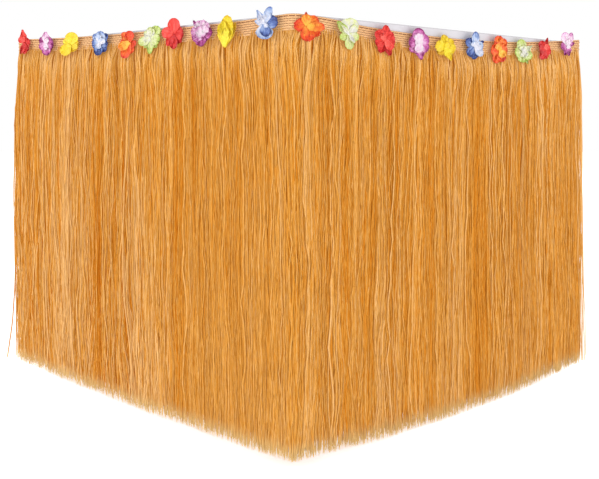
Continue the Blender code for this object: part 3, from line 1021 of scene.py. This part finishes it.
def sample_guide(graph, guide, place, value, kind="FLOAT"):
    """Reads a field of the guide sheet at a place on its map."""
    sheet_map = read(graph, "skirt", "FLOAT_VECTOR")
    inputs = {"Mesh": guide, "Value": value, "UV Map": sheet_map, "Sample UV": place}
    return graph.add("GeometryNodeSampleUVSurface", inputs, "Value", data_type=kind)


def field_noise(graph, x, y, z):
    """Smooth noise from about -1 to 1 over three numbers."""
    return (speckle(graph, vector(graph, x, y, z), 1.0, 0.0) - 0.5) * 2.0


def times(graph, direction, length):
    inputs = {"Vector": direction, "Scale": length}
    return graph.add("ShaderNodeVectorMath", inputs, operation="SCALE")


def ring_of(graph, points):
    """A ring of so many points, and the field of each one's place across it."""
    inputs = {"Resolution": points, "Radius": 1.0}
    ring = graph.add("GeometryNodeCurvePrimitiveCircle", inputs)
    return ring, part_of(graph, graph.add("GeometryNodeInputPosition"), "Y")


def scaled(graph, shape, scale):
    return graph.add("GeometryNodeTransform", {"Geometry": shape, "Scale": scale})


def flat_ring(graph, flatness):
    """The flattened three-sided section of a strand or thread."""
    ring, across = ring_of(graph, 3)
    return store(graph, scaled(graph, ring, (flatness, 1.0, 1.0)), "across", across)


def divided_line(graph, points, end=(0.0, 0.0, 1.0)):
    line = graph.add("GeometryNodeCurvePrimitiveLine", {"End": end})
    inputs = {"Curve": line, "Count": points}
    return graph.add("GeometryNodeResampleCurve", inputs, mode="COUNT")


def facing_out(graph, path):
    """Turns a path's section towards its stored outward direction."""
    inputs = {"Curve": path, "Normal": read(graph, "outward", "FLOAT_VECTOR")}
    return graph.add("GeometryNodeSetCurveNormal", inputs, mode="FREE")


def swept(graph, path, section, scale):
    """A section carried along a path, with closed ends."""
    inputs = {"Curve": path, "Profile Curve": section, "Scale": scale, "Fill Caps": True}
    return graph.add("GeometryNodeCurveToMesh", inputs)


# ---- The fringe ----


def strand_tree():
    """Strands of raffia hung from the band along the guide sheet. They keep together in locks,
    part from each other towards the hem, and each has its own length, width, twist and crinkle."""
    lengths = ("First Station", "Last Station", "Length", "Narrowest", "Widest", "Freedom")
    sizes = dict.fromkeys(lengths, "Float")
    sizes.update(dict.fromkeys(("Strands", "Points", "Seed"), "Int"), Material="Material")
    graph, size = new_geometry_graph("hung_raffia", sizes)
    strands = graph.add(
        "GeometryNodeDuplicateElements",
        {"Geometry": divided_line(graph, size["Points"]), "Amount": size["Strands"]},
        domain="SPLINE",
    )
    number = strands.beside("Duplicate Index")

    def chance(low, high, draw):
        """A random number for each strand, the same one each time for a draw."""
        inputs = {"Min": low, "Max": high, "ID": number, "Seed": size["Seed"] + draw}
        return graph.add("FunctionNodeRandomValue", inputs, "Value", data_type="FLOAT")

    # Where each strand is sewn in, its layer from -1 behind the others to 1 in front, its length,
    # and how far down each of its points hangs. Its head has more than its share of the points.
    freedom = size["Freedom"]
    run = size["Last Station"] - size["First Station"]
    root = size["First Station"] + run * (number + chance(0.0, 1.0, 1)) / size["Strands"]
    layer = chance(-0.5, 1.0, 2) * freedom - (1.0 - freedom)
    cut = chance(0.0, 1.0, 3) ** 9.0 * FEW_SHORT + chance(0.0, 1.0, 4) ** 2.0 * UNEVEN_CUT
    rise = chance(0.1, 1.0, 9) * GUIDE_RISE
    along = graph.add("GeometryNodeSplineParameter", output="Factor")
    head = along * HEAD_DEPTH / HEAD_SHARE
    body = (along - HEAD_SHARE).at_least(0.0) / (1.0 - HEAD_SHARE)
    low = size["Length"] + HEM_SPARE - cut - (1.0 - freedom) * INNER_SHORT
    down = head + body * (low - HEAD_DEPTH / HEAD_SHARE) - rise * (1.0 - along)
    hang = (down / size["Length"]).clamped()
    own = number + size["Seed"] * 17.0

    # How wildly the strands hang. Towards the front's far end they grow wilder all the way down,
    # towards the side's far end they are wild at the band and calm at the hem, and they are calmest
    # at the hem a little way along the front from the corner.
    front_end = (-root).eased(0.15, 0.50)
    side_end = root.eased(0.25, 0.60)
    by_corner = 1.0 - abs(root + 0.15).eased(0.08, 0.24)
    play = front_end * (hang * 0.60 + 0.40) + side_end * (0.35 - hang * 0.55) + 1.0
    play = play - by_corner * hang * 0.70

    # How far each strand drifts sideways. Locks and waves are shared by neighbours, crinkle and
    # crossing are its own, and near the band it is gathered and bowed with its bunch.
    locks = field_noise(graph, root / LOCKS.along, down / LOCKS.down, layer * 0.4)
    waves = field_noise(graph, root / WAVES.along, down / WAVES.down, layer * 0.9 + 7.0)
    curly = chance(0.0, 1.0, 10).eased(0.86, 0.94) * freedom
    crinkle = field_noise(graph, own * 3.7, down / CRINKLE.down, layer)
    crinkle = crinkle * (curly * CURLY_CRINKLE + CRINKLE.wide)
    crossing = field_noise(graph, own * 1.3, down / CROSSING.down, 9.0) * CROSSING.wide
    lean = chance(-MOST_LEAN, MOST_LEAN, 5)
    free = down.eased(0.0, FREE_DEPTH)
    bunch = ((root / BUNCH_WIDTH).floor() + 0.5) * BUNCH_WIDTH
    tied = 1.0 - down.eased(0.0, TIED_DEPTH)
    gathered = (bunch - root) * tied * 0.36
    bow = field_noise(graph, bunch / 0.019, 2.0, layer * 0.25) * BUNCH_BOW
    bowed = down.eased(-0.004, 0.028) * (1.0 - down.eased(0.024, 0.110))
    drift = (
        locks * LOCKS.wide * hang**0.7
        + (waves * WAVES.wide * play + crinkle) * free
        + (crossing + lean) * hang**1.2 * play
        + gathered
        + bow * bowed
    )
    station = root + drift * (freedom * 0.8 + 0.2)
    across = (station + HALF_RUN) / (2 * HALF_RUN)
    place = vector(graph, across, (down + GUIDE_RISE) / GUIDE_REACH)

    # How far each strand stands out of the guide sheet: its layer, ridges along the skirt, its own
    # bend, the dome of its bunch, and the bunches that come over the band's lower edge.
    ridges = field_noise(graph, station / 0.022, down / 0.35, 11.0) * 0.16
    bend = field_noise(graph, own * 2.3, down / 0.090, 5.0) * 0.25
    edge = (root - bunch) / (BUNCH_WIDTH / 2)
    domed = (0.8 - edge * edge) * tied * 0.6
    over = field_noise(graph, bunch * 41.0, 3.0, 1.0).eased(-0.35, 0.30) * freedom
    out_of_band = (down + over * 0.010).eased(-0.004, 0.010)
    spread = layer * 0.4 + ((ridges + bend + curly * 0.35) * free + domed) * freedom
    depth = spread.at_most(1.0) * out_of_band + out_of_band - 1.0
    puff = (layer + 0.5).clamped() * bowed * 0.0030
    puff = puff + over * (1.0 - down.eased(0.0, 0.030)) * 0.0018

    guide = size["Geometry"]
    position = graph.add("GeometryNodeInputPosition")
    normal = graph.add("GeometryNodeInputNormal", output="Normal")
    surface = sample_guide(graph, guide, place, position, "FLOAT_VECTOR")
    outward = sample_guide(graph, guide, place, normal, "FLOAT_VECTOR")
    half_room = sample_guide(graph, guide, place, read(graph, "room"))
    proud = times(graph, outward, depth * half_room + puff)
    hung = graph.add("ShaderNodeVectorMath", {0: surface, 1: proud}, operation="ADD")

    # Each strand's tone is its own in part and in part its neighbours'. Painted shade darkens the
    # strands that lie deeper, the inner blades and the fold's partings, and painted light lightens
    # its ridges.
    # Curly strands are paler. Tones differ most where the strands hang wildest, and low down they
    # are lighter near the corner and darker towards the front's far end. A strand's width swells
    # below the band and tapers at the tip.
    kinship = field_noise(graph, root / 0.012, down / 1.60, layer * 0.5) * 0.9 + 0.5
    fold = sample_guide(graph, guide, place, read(graph, "fold"))
    tint = chance(0.0, 1.0, 6) * 0.46 + kinship * 0.24 + layer * 0.20 + 0.10
    tint = tint + fold * (kinship * 0.14 + 0.04) + curly * 0.12 - (1.0 - freedom) * 0.12
    tint = (tint - 0.5) * play + (by_corner * 0.07 - front_end * 0.06) * hang + 0.5
    twist = chance(-0.25, 0.25, 7) + field_noise(graph, own * 1.9, down / 0.20, 2.0) * 0.5
    breadth = chance(0.0, 1.0, 8) ** 1.8
    full = down.eased(-0.004, 0.030) * 0.6 + 0.4
    tapered = 1.0 - along.eased(0.95, 1.0) * 0.85
    width = (breadth * (size["Widest"] - size["Narrowest"]) + size["Narrowest"]) * full * tapered
    kept = {
        "tint": tint,
        "reach": along,
        "shoulder": tied,
        "own": own,
        "twist": twist * freedom,
        "half_width": width / math.sqrt(3),
    }
    for name, value in kept.items():
        strands = store(graph, strands, name, value)
    strands = store(graph, strands, "outward", outward, data_type="FLOAT_VECTOR")
    strands = graph.add("GeometryNodeSetPosition", {"Geometry": strands, "Position": hung})
    strands = facing_out(graph, strands)
    turned = {"Curve": strands, "Tilt": read(graph, "twist")}
    strands = graph.add("GeometryNodeSetCurveTilt", turned)
    section = flat_ring(graph, STRAND_FLATNESS)
    ribbons = swept(graph, strands, section, read(graph, "half_width"))
    return end_graph(graph, ribbons, size["Material"])


def loose_tree():
    """Gives drawn paths the flattened section of a strand."""
    graph, size = new_geometry_graph("loose_raffia", {"Material": "Material"})
    path = graph.add("GeometryNodeMeshToCurve", {"Mesh": size["Geometry"]})
    section = flat_ring(graph, LOOSE_FLATNESS)
    ribbons = swept(graph, facing_out(graph, path), section, read(graph, "half_width"))
    return end_graph(graph, ribbons, size["Material"])


def make_loose_strands(material):
    shape = bmesh.new()
    names = ("tint", "own", "reach", "shoulder", "half_width")
    layers = {name: shape.verts.layers.float.new(name) for name in names}
    facing = shape.verts.layers.float_vector.new("outward")
    end = CORNER_RUN / 2 + TOP_SIDE
    for number, strand in enumerate(LOOSE_STRANDS):
        hang = [(0.0, strand.root), (0.5, strand.middle), (1.0, strand.hem)]
        last = None
        for reach in steps(0.0, 1.0, LOOSE_POINTS):
            down = reach * strand.cut
            level = level_at(down)
            waver = noise.noise(Vector((number * 3.1, reach * 11.0, 0.0))) * LOOSE_WAVER
            past = smooth_value(hang, reach) + waver * min(1.0, reach * 8.0)
            station = strand.wall * (end + past)
            out = (level.inner + level.outer) / 2 + strand.off * reach**6
            vert = shape.verts.new(hung_point(station, down, level, out, level.corner))
            vert[layers["tint"]] = strand.tone
            vert[layers["own"]] = number + 0.5
            vert[layers["reach"]] = reach
            vert[layers["half_width"]] = strand.width / math.sqrt(3)
            vert[facing] = (1, 0, 0) if strand.wall == SIDE else (0, -1, 0)
            if last:
                shape.edges.new((last, vert))
            last = vert
    paths = add_mesh("loose_paths", shape, smooth=False)
    piece = grow(paths, loose_tree(), "raffia_loose", {"Material": material})
    bpy.data.objects.remove(paths)
    return piece


def make_fringe():
    guide = make_guide_sheet()
    tree = strand_tree()
    material = raffia_strand_finish()
    pieces = []
    for seed, stretch in enumerate(FRINGE_STRETCHES, start=1):
        sizes = {
            "First Station": stretch.first,
            "Last Station": stretch.last,
            "Length": FRINGE_LENGTH,
            "Strands": stretch.strands,
            "Points": stretch.points,
            "Seed": 100 * seed,
            "Narrowest": stretch.narrowest,
            "Widest": stretch.widest,
            "Freedom": stretch.freedom,
            "Material": material,
        }
        pieces.append(grow(guide, tree, stretch.name, sizes))
    bpy.data.objects.remove(guide)
    pieces.append(make_loose_strands(material))
    return [put_on(piece, "raffia_strands", "raffia_fringe") for piece in pieces]


# ---- The heading band ----


def make_band_line():
    """The band's upper edge as a line, in the middle of its thickness."""
    out = SEAM_GAP + BAND_THICKNESS / 2
    shape = bmesh.new()
    points = []
    end = CORNER_RUN / 2 + TOP_SIDE
    for station in skirt_stations(wall_steps=64, corner_steps=8):
        station = min(max(station, -end), end)
        point = plan_point(station, out, 0.0, TOP_CORNER_RADIUS + out)
        point.z = band_top(station)
        if not points or (point - points[-1].co).length > 1e-5:
            points.append(shape.verts.new(point))
    for pair in zip(points, points[1:]):
        shape.edges.new(pair)
    return add_mesh("band_line", shape, smooth=False)


def laid_on(graph, points, path):
    """A copy of a path at each point."""
    return graph.add("GeometryNodeInstanceOnPoints", {"Points": points, "Instance": path})


def cord_tree():
    """Cords laid side by side along the band."""
    sizes = {"Height": "Float", "Thickness": "Float", "Cords": "Int", "Material": "Material"}
    graph, size = new_geometry_graph("band_cords", sizes)
    path = graph.add("GeometryNodeMeshToCurve", {"Mesh": size["Geometry"]})
    path = graph.add("GeometryNodeSetCurveNormal", {"Curve": path}, mode="Z_UP")
    pitch = size["Height"] / size["Cords"]
    first = vector(graph, z=pitch * -0.5)
    gap = vector(graph, z=-pitch)
    stack = {"Count": size["Cords"], "Start Location": first, "Offset": gap}
    levels = graph.add("GeometryNodeMeshLine", stack, mode="OFFSET")
    laid = laid_on(graph, levels, path)
    row = graph.add("GeometryNodeInputIndex", output="Index")
    laid = store(graph, laid, "top", 1.0 - row.at_most(1.0), domain="INSTANCE")
    laid = graph.add("GeometryNodeRealizeInstances", {"Geometry": laid})
    ring, across = ring_of(graph, BAND_CORD_SIDES)
    ring = store(graph, ring, "across", across)
    section = scaled(graph, ring, vector(graph, size["Thickness"] * 0.50, pitch * 0.50, 1.0))
    cords = swept(graph, laid, section, 1.0)
    smooth = graph.add("GeometryNodeSetShadeSmooth", {"Geometry": cords})
    return end_graph(graph, smooth, size["Material"])


def thread_tree():
    """Upright threads woven over one cord and under the next."""
    lengths = ("Height", "Thickness", "Thread Pitch", "Thread Width")
    sizes = dict(dict.fromkeys(lengths, "Float"), Cords="Int", Material="Material")
    graph, size = new_geometry_graph("band_threads", sizes)
    path = graph.add("GeometryNodeMeshToCurve", {"Mesh": size["Geometry"]})
    spaced = {"Curve": path, "Length": size["Thread Pitch"]}
    stands = graph.add("GeometryNodeCurveToPoints", spaced, "Points", mode="LENGTH")
    sides = {0: stands.beside("Tangent"), 1: (0.0, 0.0, 1.0)}
    aside = graph.add("ShaderNodeVectorMath", sides, operation="CROSS_PRODUCT")
    stands = store(graph, stands, "outward", aside, data_type="FLOAT_VECTOR")
    index = graph.add("GeometryNodeInputIndex")
    stands = store(graph, stands, "parity", index % 2.0)
    foot = vector(graph, z=-size["Height"])
    threads = laid_on(graph, stands, divided_line(graph, size["Cords"] * 4.0 + 1.0, foot))
    threads = graph.add("GeometryNodeRealizeInstances", {"Geometry": threads})
    along = graph.add("GeometryNodeSplineParameter", output="Factor")
    wave = ((along * size["Cords"] - 0.5 + read(graph, "parity")) * math.pi).cosine()
    wave = (wave * 1.5).at_most(1.0).at_least(-1.0)
    outward = read(graph, "outward", "FLOAT_VECTOR")
    weave = times(graph, outward, wave * size["Thickness"] * 0.70)
    threads = graph.add("GeometryNodeSetPosition", {"Geometry": threads, "Offset": weave})
    section = flat_ring(graph, THREAD_FLATNESS)
    width = size["Thread Width"] / math.sqrt(3)
    threads = swept(graph, facing_out(graph, threads), section, width)
    smooth = graph.add("GeometryNodeSetShadeSmooth", {"Geometry": threads})
    return end_graph(graph, smooth, size["Material"])


def make_band(fringe):
    line = make_band_line()
    sizes = {"Height": BAND_HEIGHT, "Thickness": BAND_THICKNESS, "Cords": BAND_CORDS}
    sizes["Material"] = braid_finish("raffia_cord", BRAID_CORD)
    cords = grow(line, cord_tree(), "band_cords", sizes)
    sizes.update({"Thread Pitch": THREAD_PITCH, "Thread Width": THREAD_WIDTH})
    sizes["Material"] = braid_finish("raffia_thread", BRAID_THREAD)
    threads = grow(line, thread_tree(), "band_threads", sizes)
    bpy.data.objects.remove(line)
    for piece in (cords, threads):
        put_on(piece, "raffia_braid", "heading_band")
    return cords


# ---- The silk flowers ----


def flower_axes(flower):
    """The flower's own axes at the band's outer face: X along the wall, Y up, Z out."""
    out = SEAM_GAP + BAND_THICKNESS
    half = TOP_SIDE / 2
    if flower.wall == FRONT:
        place = Vector((half - flower.along, -half - out, 0))
        normal = Vector((0, -1, 0))
    else:
        place = Vector((half + out, flower.along - half, 0))
        normal = Vector((1, 0, 0))
    place += TABLE_CENTRE
    place.z = TABLE_HEIGHT - flower.below
    normal = Matrix.Rotation(math.radians(flower.swing), 3, "Z") @ normal
    up = Vector((0, 0, 1))
    axes = Matrix((up.cross(normal), up, normal)).transposed().to_4x4()
    axes.translation = place
    return axes


class Drawing:
    """Turns what the camera sees of a flower into the flower's own axes."""

    def __init__(self, flower, axes, camera):
        right, up, back = camera.rotation_euler.to_matrix().transposed()
        seen = axes.translation - camera.location
        far = -seen.dot(back)
        self.step = far * camera.data.sensor_width / camera.data.lens / VIEW_STEPS
        turn = axes.to_3x3().transposed()
        self.right = turn @ (right + back * (seen.dot(right) / far))
        self.up = turn @ (up + back * (seen.dot(up) / far))
        self.throat = Vector(flower.throat)

    def place(self, drawn, out):
        """The point `out` from the flower's base that is seen at a drawn place."""
        ahead = out - FLOWER_FACE
        x = (drawn.x * self.step - self.right.z * ahead) / self.right.x
        y = (drawn.y * self.step - self.up.x * x - self.up.z * ahead) / self.up.y
        return Vector((x, y, out))


class Pile:
    """How far out the petals already laid reach, at each step of the drawing."""

    def __init__(self):
        self.tops = {}

    def over(self, drawn, out):
        """How far out a petal lies at a drawn place, so that it clears the ones beneath."""
        x, y = math.floor(drawn.x), math.floor(drawn.y)
        corners = ((x, y), (x + 1, y), (x, y + 1), (x + 1, y + 1))
        return max(out, PETAL_GAP + max(self.tops.get(corner, 0.0) for corner in corners))

    def lay(self, places):
        for drawn, out in places:
            corner = (round(drawn.x), round(drawn.y))
            self.tops[corner] = max(out, self.tops.get(corner, 0.0))


def petal_place(drawing, flower, petal, seed, reach, aside):
    """Where a point of a petal is drawn, and how far out it stands: reach is 0 at the throat and 1
    at the tip, aside -1 and 1 at the petal's edges."""
    length = Vector((petal.right, petal.up)) - drawing.throat
    across = Vector((length.y, -length.x)).normalized() * petal.width / 2
    swell = math.sin(math.pi / 2 * min(1.0, reach / PETAL_WIDEST)) ** 1.2
    fullness = PETAL_NECK + (1 - PETAL_NECK) * swell
    fullness *= 1 - 0.75 * petal.point * max(0.0, reach - PETAL_WIDEST) / (1 - PETAL_WIDEST)
    rounding = 1 - math.sqrt(1 - 0.98 * aside**2)
    tooth = abs((aside * PINKED_TEETH / 2 + seed) % 1.0 - 0.5) * 2
    waver = noise.noise(Vector((aside * 2.3, seed * 5.3, reach))) * 0.10
    cut_back = PETAL_ROUND * rounding + tooth * flower.pinked / length.length + abs(waver)
    drawn = drawing.throat + length * (reach - cut_back * reach**3)
    drawn += across * (aside * fullness * (1 + waver * reach))
    # The petal lifts off the wall and droops again, with cupped edges, pleats along it, a ruffled
    # rim and the creases of crumpled silk.
    lift = math.tan(math.radians(petal.lift)) * (reach - PETAL_DROOP * reach**2)
    cup = PETAL_CUP * aside**2 * reach
    pleat = math.sin(aside * PETAL_PLEATS + seed * 2.1) * PETAL_PLEAT_DEPTH * (1 - aside**2)
    ruffle = math.sin(aside * 8.0 + seed * 3.7) + 0.6 * math.sin(aside * 15.0 + seed)
    crumple = noise.noise(Vector((drawn.x / 4, drawn.y / 4, seed * 1.7)))
    crumple += 0.6 * noise.noise(Vector((drawn.x / 1.7, drawn.y / 1.7, seed)))
    out = FLOWER_STAND_OFF + length.length * drawing.step * (lift + cup)
    out += pleat * math.sin(math.pi * reach) + flower.frill * ruffle * reach**3
    out += crumple * flower.crumple * 2.2 * reach
    return drawn, max(out, PETAL_LOWEST)


def add_vert(shape, layers, place, *values):
    vert = shape.verts.new(place)
    for layer, value in zip(layers, values):
        vert[layer] = value
    return vert


def add_petal(shape, layers, drawing, pile, flower, petal, seed):
    """One petal as a single layer of silk in the flower's own axes, over those already laid."""
    rows = []
    laid = []
    for reach in steps(0.0, 1.0, PETAL_ROWS):
        dye = petal.root + (petal.rim - petal.root) * reach**1.3
        rows.append([])
        for aside in steps(-1.0, 1.0, PETAL_COLUMNS):
            drawn, out = petal_place(drawing, flower, petal, seed, reach, aside)
            out = pile.over(drawn, out)
            laid.append((drawn, out))
            place = drawing.place(drawn, out)
            vein = aside + seed * 2.5
            rows[-1].append(add_vert(shape, layers, place, reach, aside, vein, dye))
    pile.lay(laid)
    join_rows(shape, rows)


def add_stalk(shape, layers):
    """The knot that sews the flower to the band, closed at both ends."""
    rings = [
        (STALK_RADIUS, SEAM_GAP),
        (STALK_RADIUS * 0.9, FLOWER_STAND_OFF * 0.5),
        (THROAT_RADIUS, FLOWER_STAND_OFF),
        (THROAT_RADIUS * 0.7, FLOWER_STAND_OFF + 0.0008),
    ]
    rows = []
    for radius, out in rings:
        rows.append([])
        for angle in steps(0.0, 2 * math.pi, STALK_SIDES)[:-1]:
            place = (radius * math.cos(angle), radius * math.sin(angle), out)
            rows[-1].append(add_vert(shape, layers, place, 0.0, 0.0, angle, 0.5))
    join_rows(shape, rows, rings=True)
    shape.faces.new(rows[0][::-1])
    shape.faces.new(rows[-1])


def new_flower_shape():
    """An empty shape that keeps what the silk's finish reads at each point."""
    shape = bmesh.new()
    return shape, [shape.verts.layers.float.new(name) for name in ("reach", "aside", "vein", "dye")]


def make_flower(number, flower, petals, material, camera):
    name = f"flower_{number:02d}_{flower.colour}"
    axes = flower_axes(flower)
    drawing = Drawing(flower, axes, camera)
    pile = Pile()
    shape, layers = new_flower_shape()
    for order, petal in enumerate(petals):
        add_petal(shape, layers, drawing, pile, flower, Petal(*petal), number * 1.37 + order)
    bmesh.ops.transform(shape, matrix=axes, verts=shape.verts)
    draft = add_mesh("petals", shape)
    thick = draft.modifiers.new("thick", "SOLIDIFY")
    thick.thickness = SILK_THICKNESS
    thick.offset = 0.0
    piece = plain_mesh(draft, "silk_" + name)
    bpy.data.objects.remove(draft)
    shape, layers = new_flower_shape()
    shape.from_mesh(piece.data)
    petals_end = len(shape.verts)
    add_stalk(shape, layers)
    shape.verts.ensure_lookup_table()
    throat = drawing.place(drawing.throat, FLOWER_STAND_OFF)
    throat.z = 0.0
    stalk = axes @ Matrix.Translation(throat)
    bmesh.ops.transform(shape, matrix=stalk, verts=shape.verts[petals_end:])
    shape.to_mesh(piece.data)
    shape.free()
    piece.data.shade_smooth()
    coat(piece, material)
    return put_on(piece, flower.colour + "_silk", name)


def make_flowers(band, camera):
    silks = {name: silk_finish(name) for name in SILK_DYES}
    for number, (flower, petals) in enumerate(zip(FLOWERS, FLOWER_PETALS), start=1):
        piece = make_flower(number, flower, petals, silks[flower.colour], camera)
        area = sum(face.area for face in piece.data.polygons) / 2


# ---- Table, floor, light and camera ----


def finish_table():
    lacquer = lacquer_finish()
    for name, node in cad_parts.items():
        if name.startswith("table_"):
            coat(node, lacquer)


def make_floor():
    shape = bmesh.new()
    bmesh.ops.create_grid(shape, x_segments=1, y_segments=1, size=FLOOR_REACH)
    floor = add_mesh("floor", shape, smooth=False)
    material, graph, shader = new_finish("studio_floor", 0.9, Emission_Strength=0.65)
    clouds = speckle(graph, own_place(graph), 0.8)
    pale = mix(graph, clouds, colour(0.88, 0.88, 0.88), colour(0.90, 0.90, 0.90))
    paint(graph, shader, Base_Color=pale, Emission_Color=pale)
    coat(floor, material)


def add_soft_light(name, place, power):
    """A round lamp, aimed at the middle of the table."""
    light = bpy.data.lights.new(name, "AREA")
    light.shape = "DISK"
    light.size = LAMP_WIDTH
    light.energy = power
    lamp = add_object(name, light)
    lamp.location = place
    lamp.rotation_euler = (LAMP_AIM - Vector(place)).to_track_quat("-Z", "Y").to_euler()


def light_studio():
    world = bpy.data.worlds.new("studio")
    world.use_nodes = True
    sky = world.node_tree.nodes["Background"]
    sky.inputs["Color"].default_value = colour(1.0, 1.0, 1.0)
    sky.inputs["Strength"].default_value = 1.0
    bpy.context.scene.world = world
    add_soft_light("key_left", (-1.0, -3.4, 1.2), 33.0)
    add_soft_light("fill_right", (3.6, -0.4, 1.0), 28.0)
    bpy.context.scene.view_settings.view_transform = "Standard"


def add_camera():
    corner = TABLE_CENTRE + Vector((TOP_SIDE / 2, -TOP_SIDE / 2, 0.0))
    lens = bpy.data.cameras.new("camera")
    lens.lens = CAMERA_LENS
    lens.sensor_width = CAMERA_SENSOR
    lens.shift_y = CAMERA_SHIFT
    camera = add_object("camera", lens)
    camera.location = corner + CAMERA_FROM_CORNER
    camera.rotation_euler = (math.radians(90 - CAMERA_DIP), 0.0, math.radians(CAMERA_TURN))
    bpy.context.scene.camera = camera
    return camera


camera = add_camera()
light_studio()
make_floor()
finish_table()
make_flowers(make_band(make_fringe()), camera)
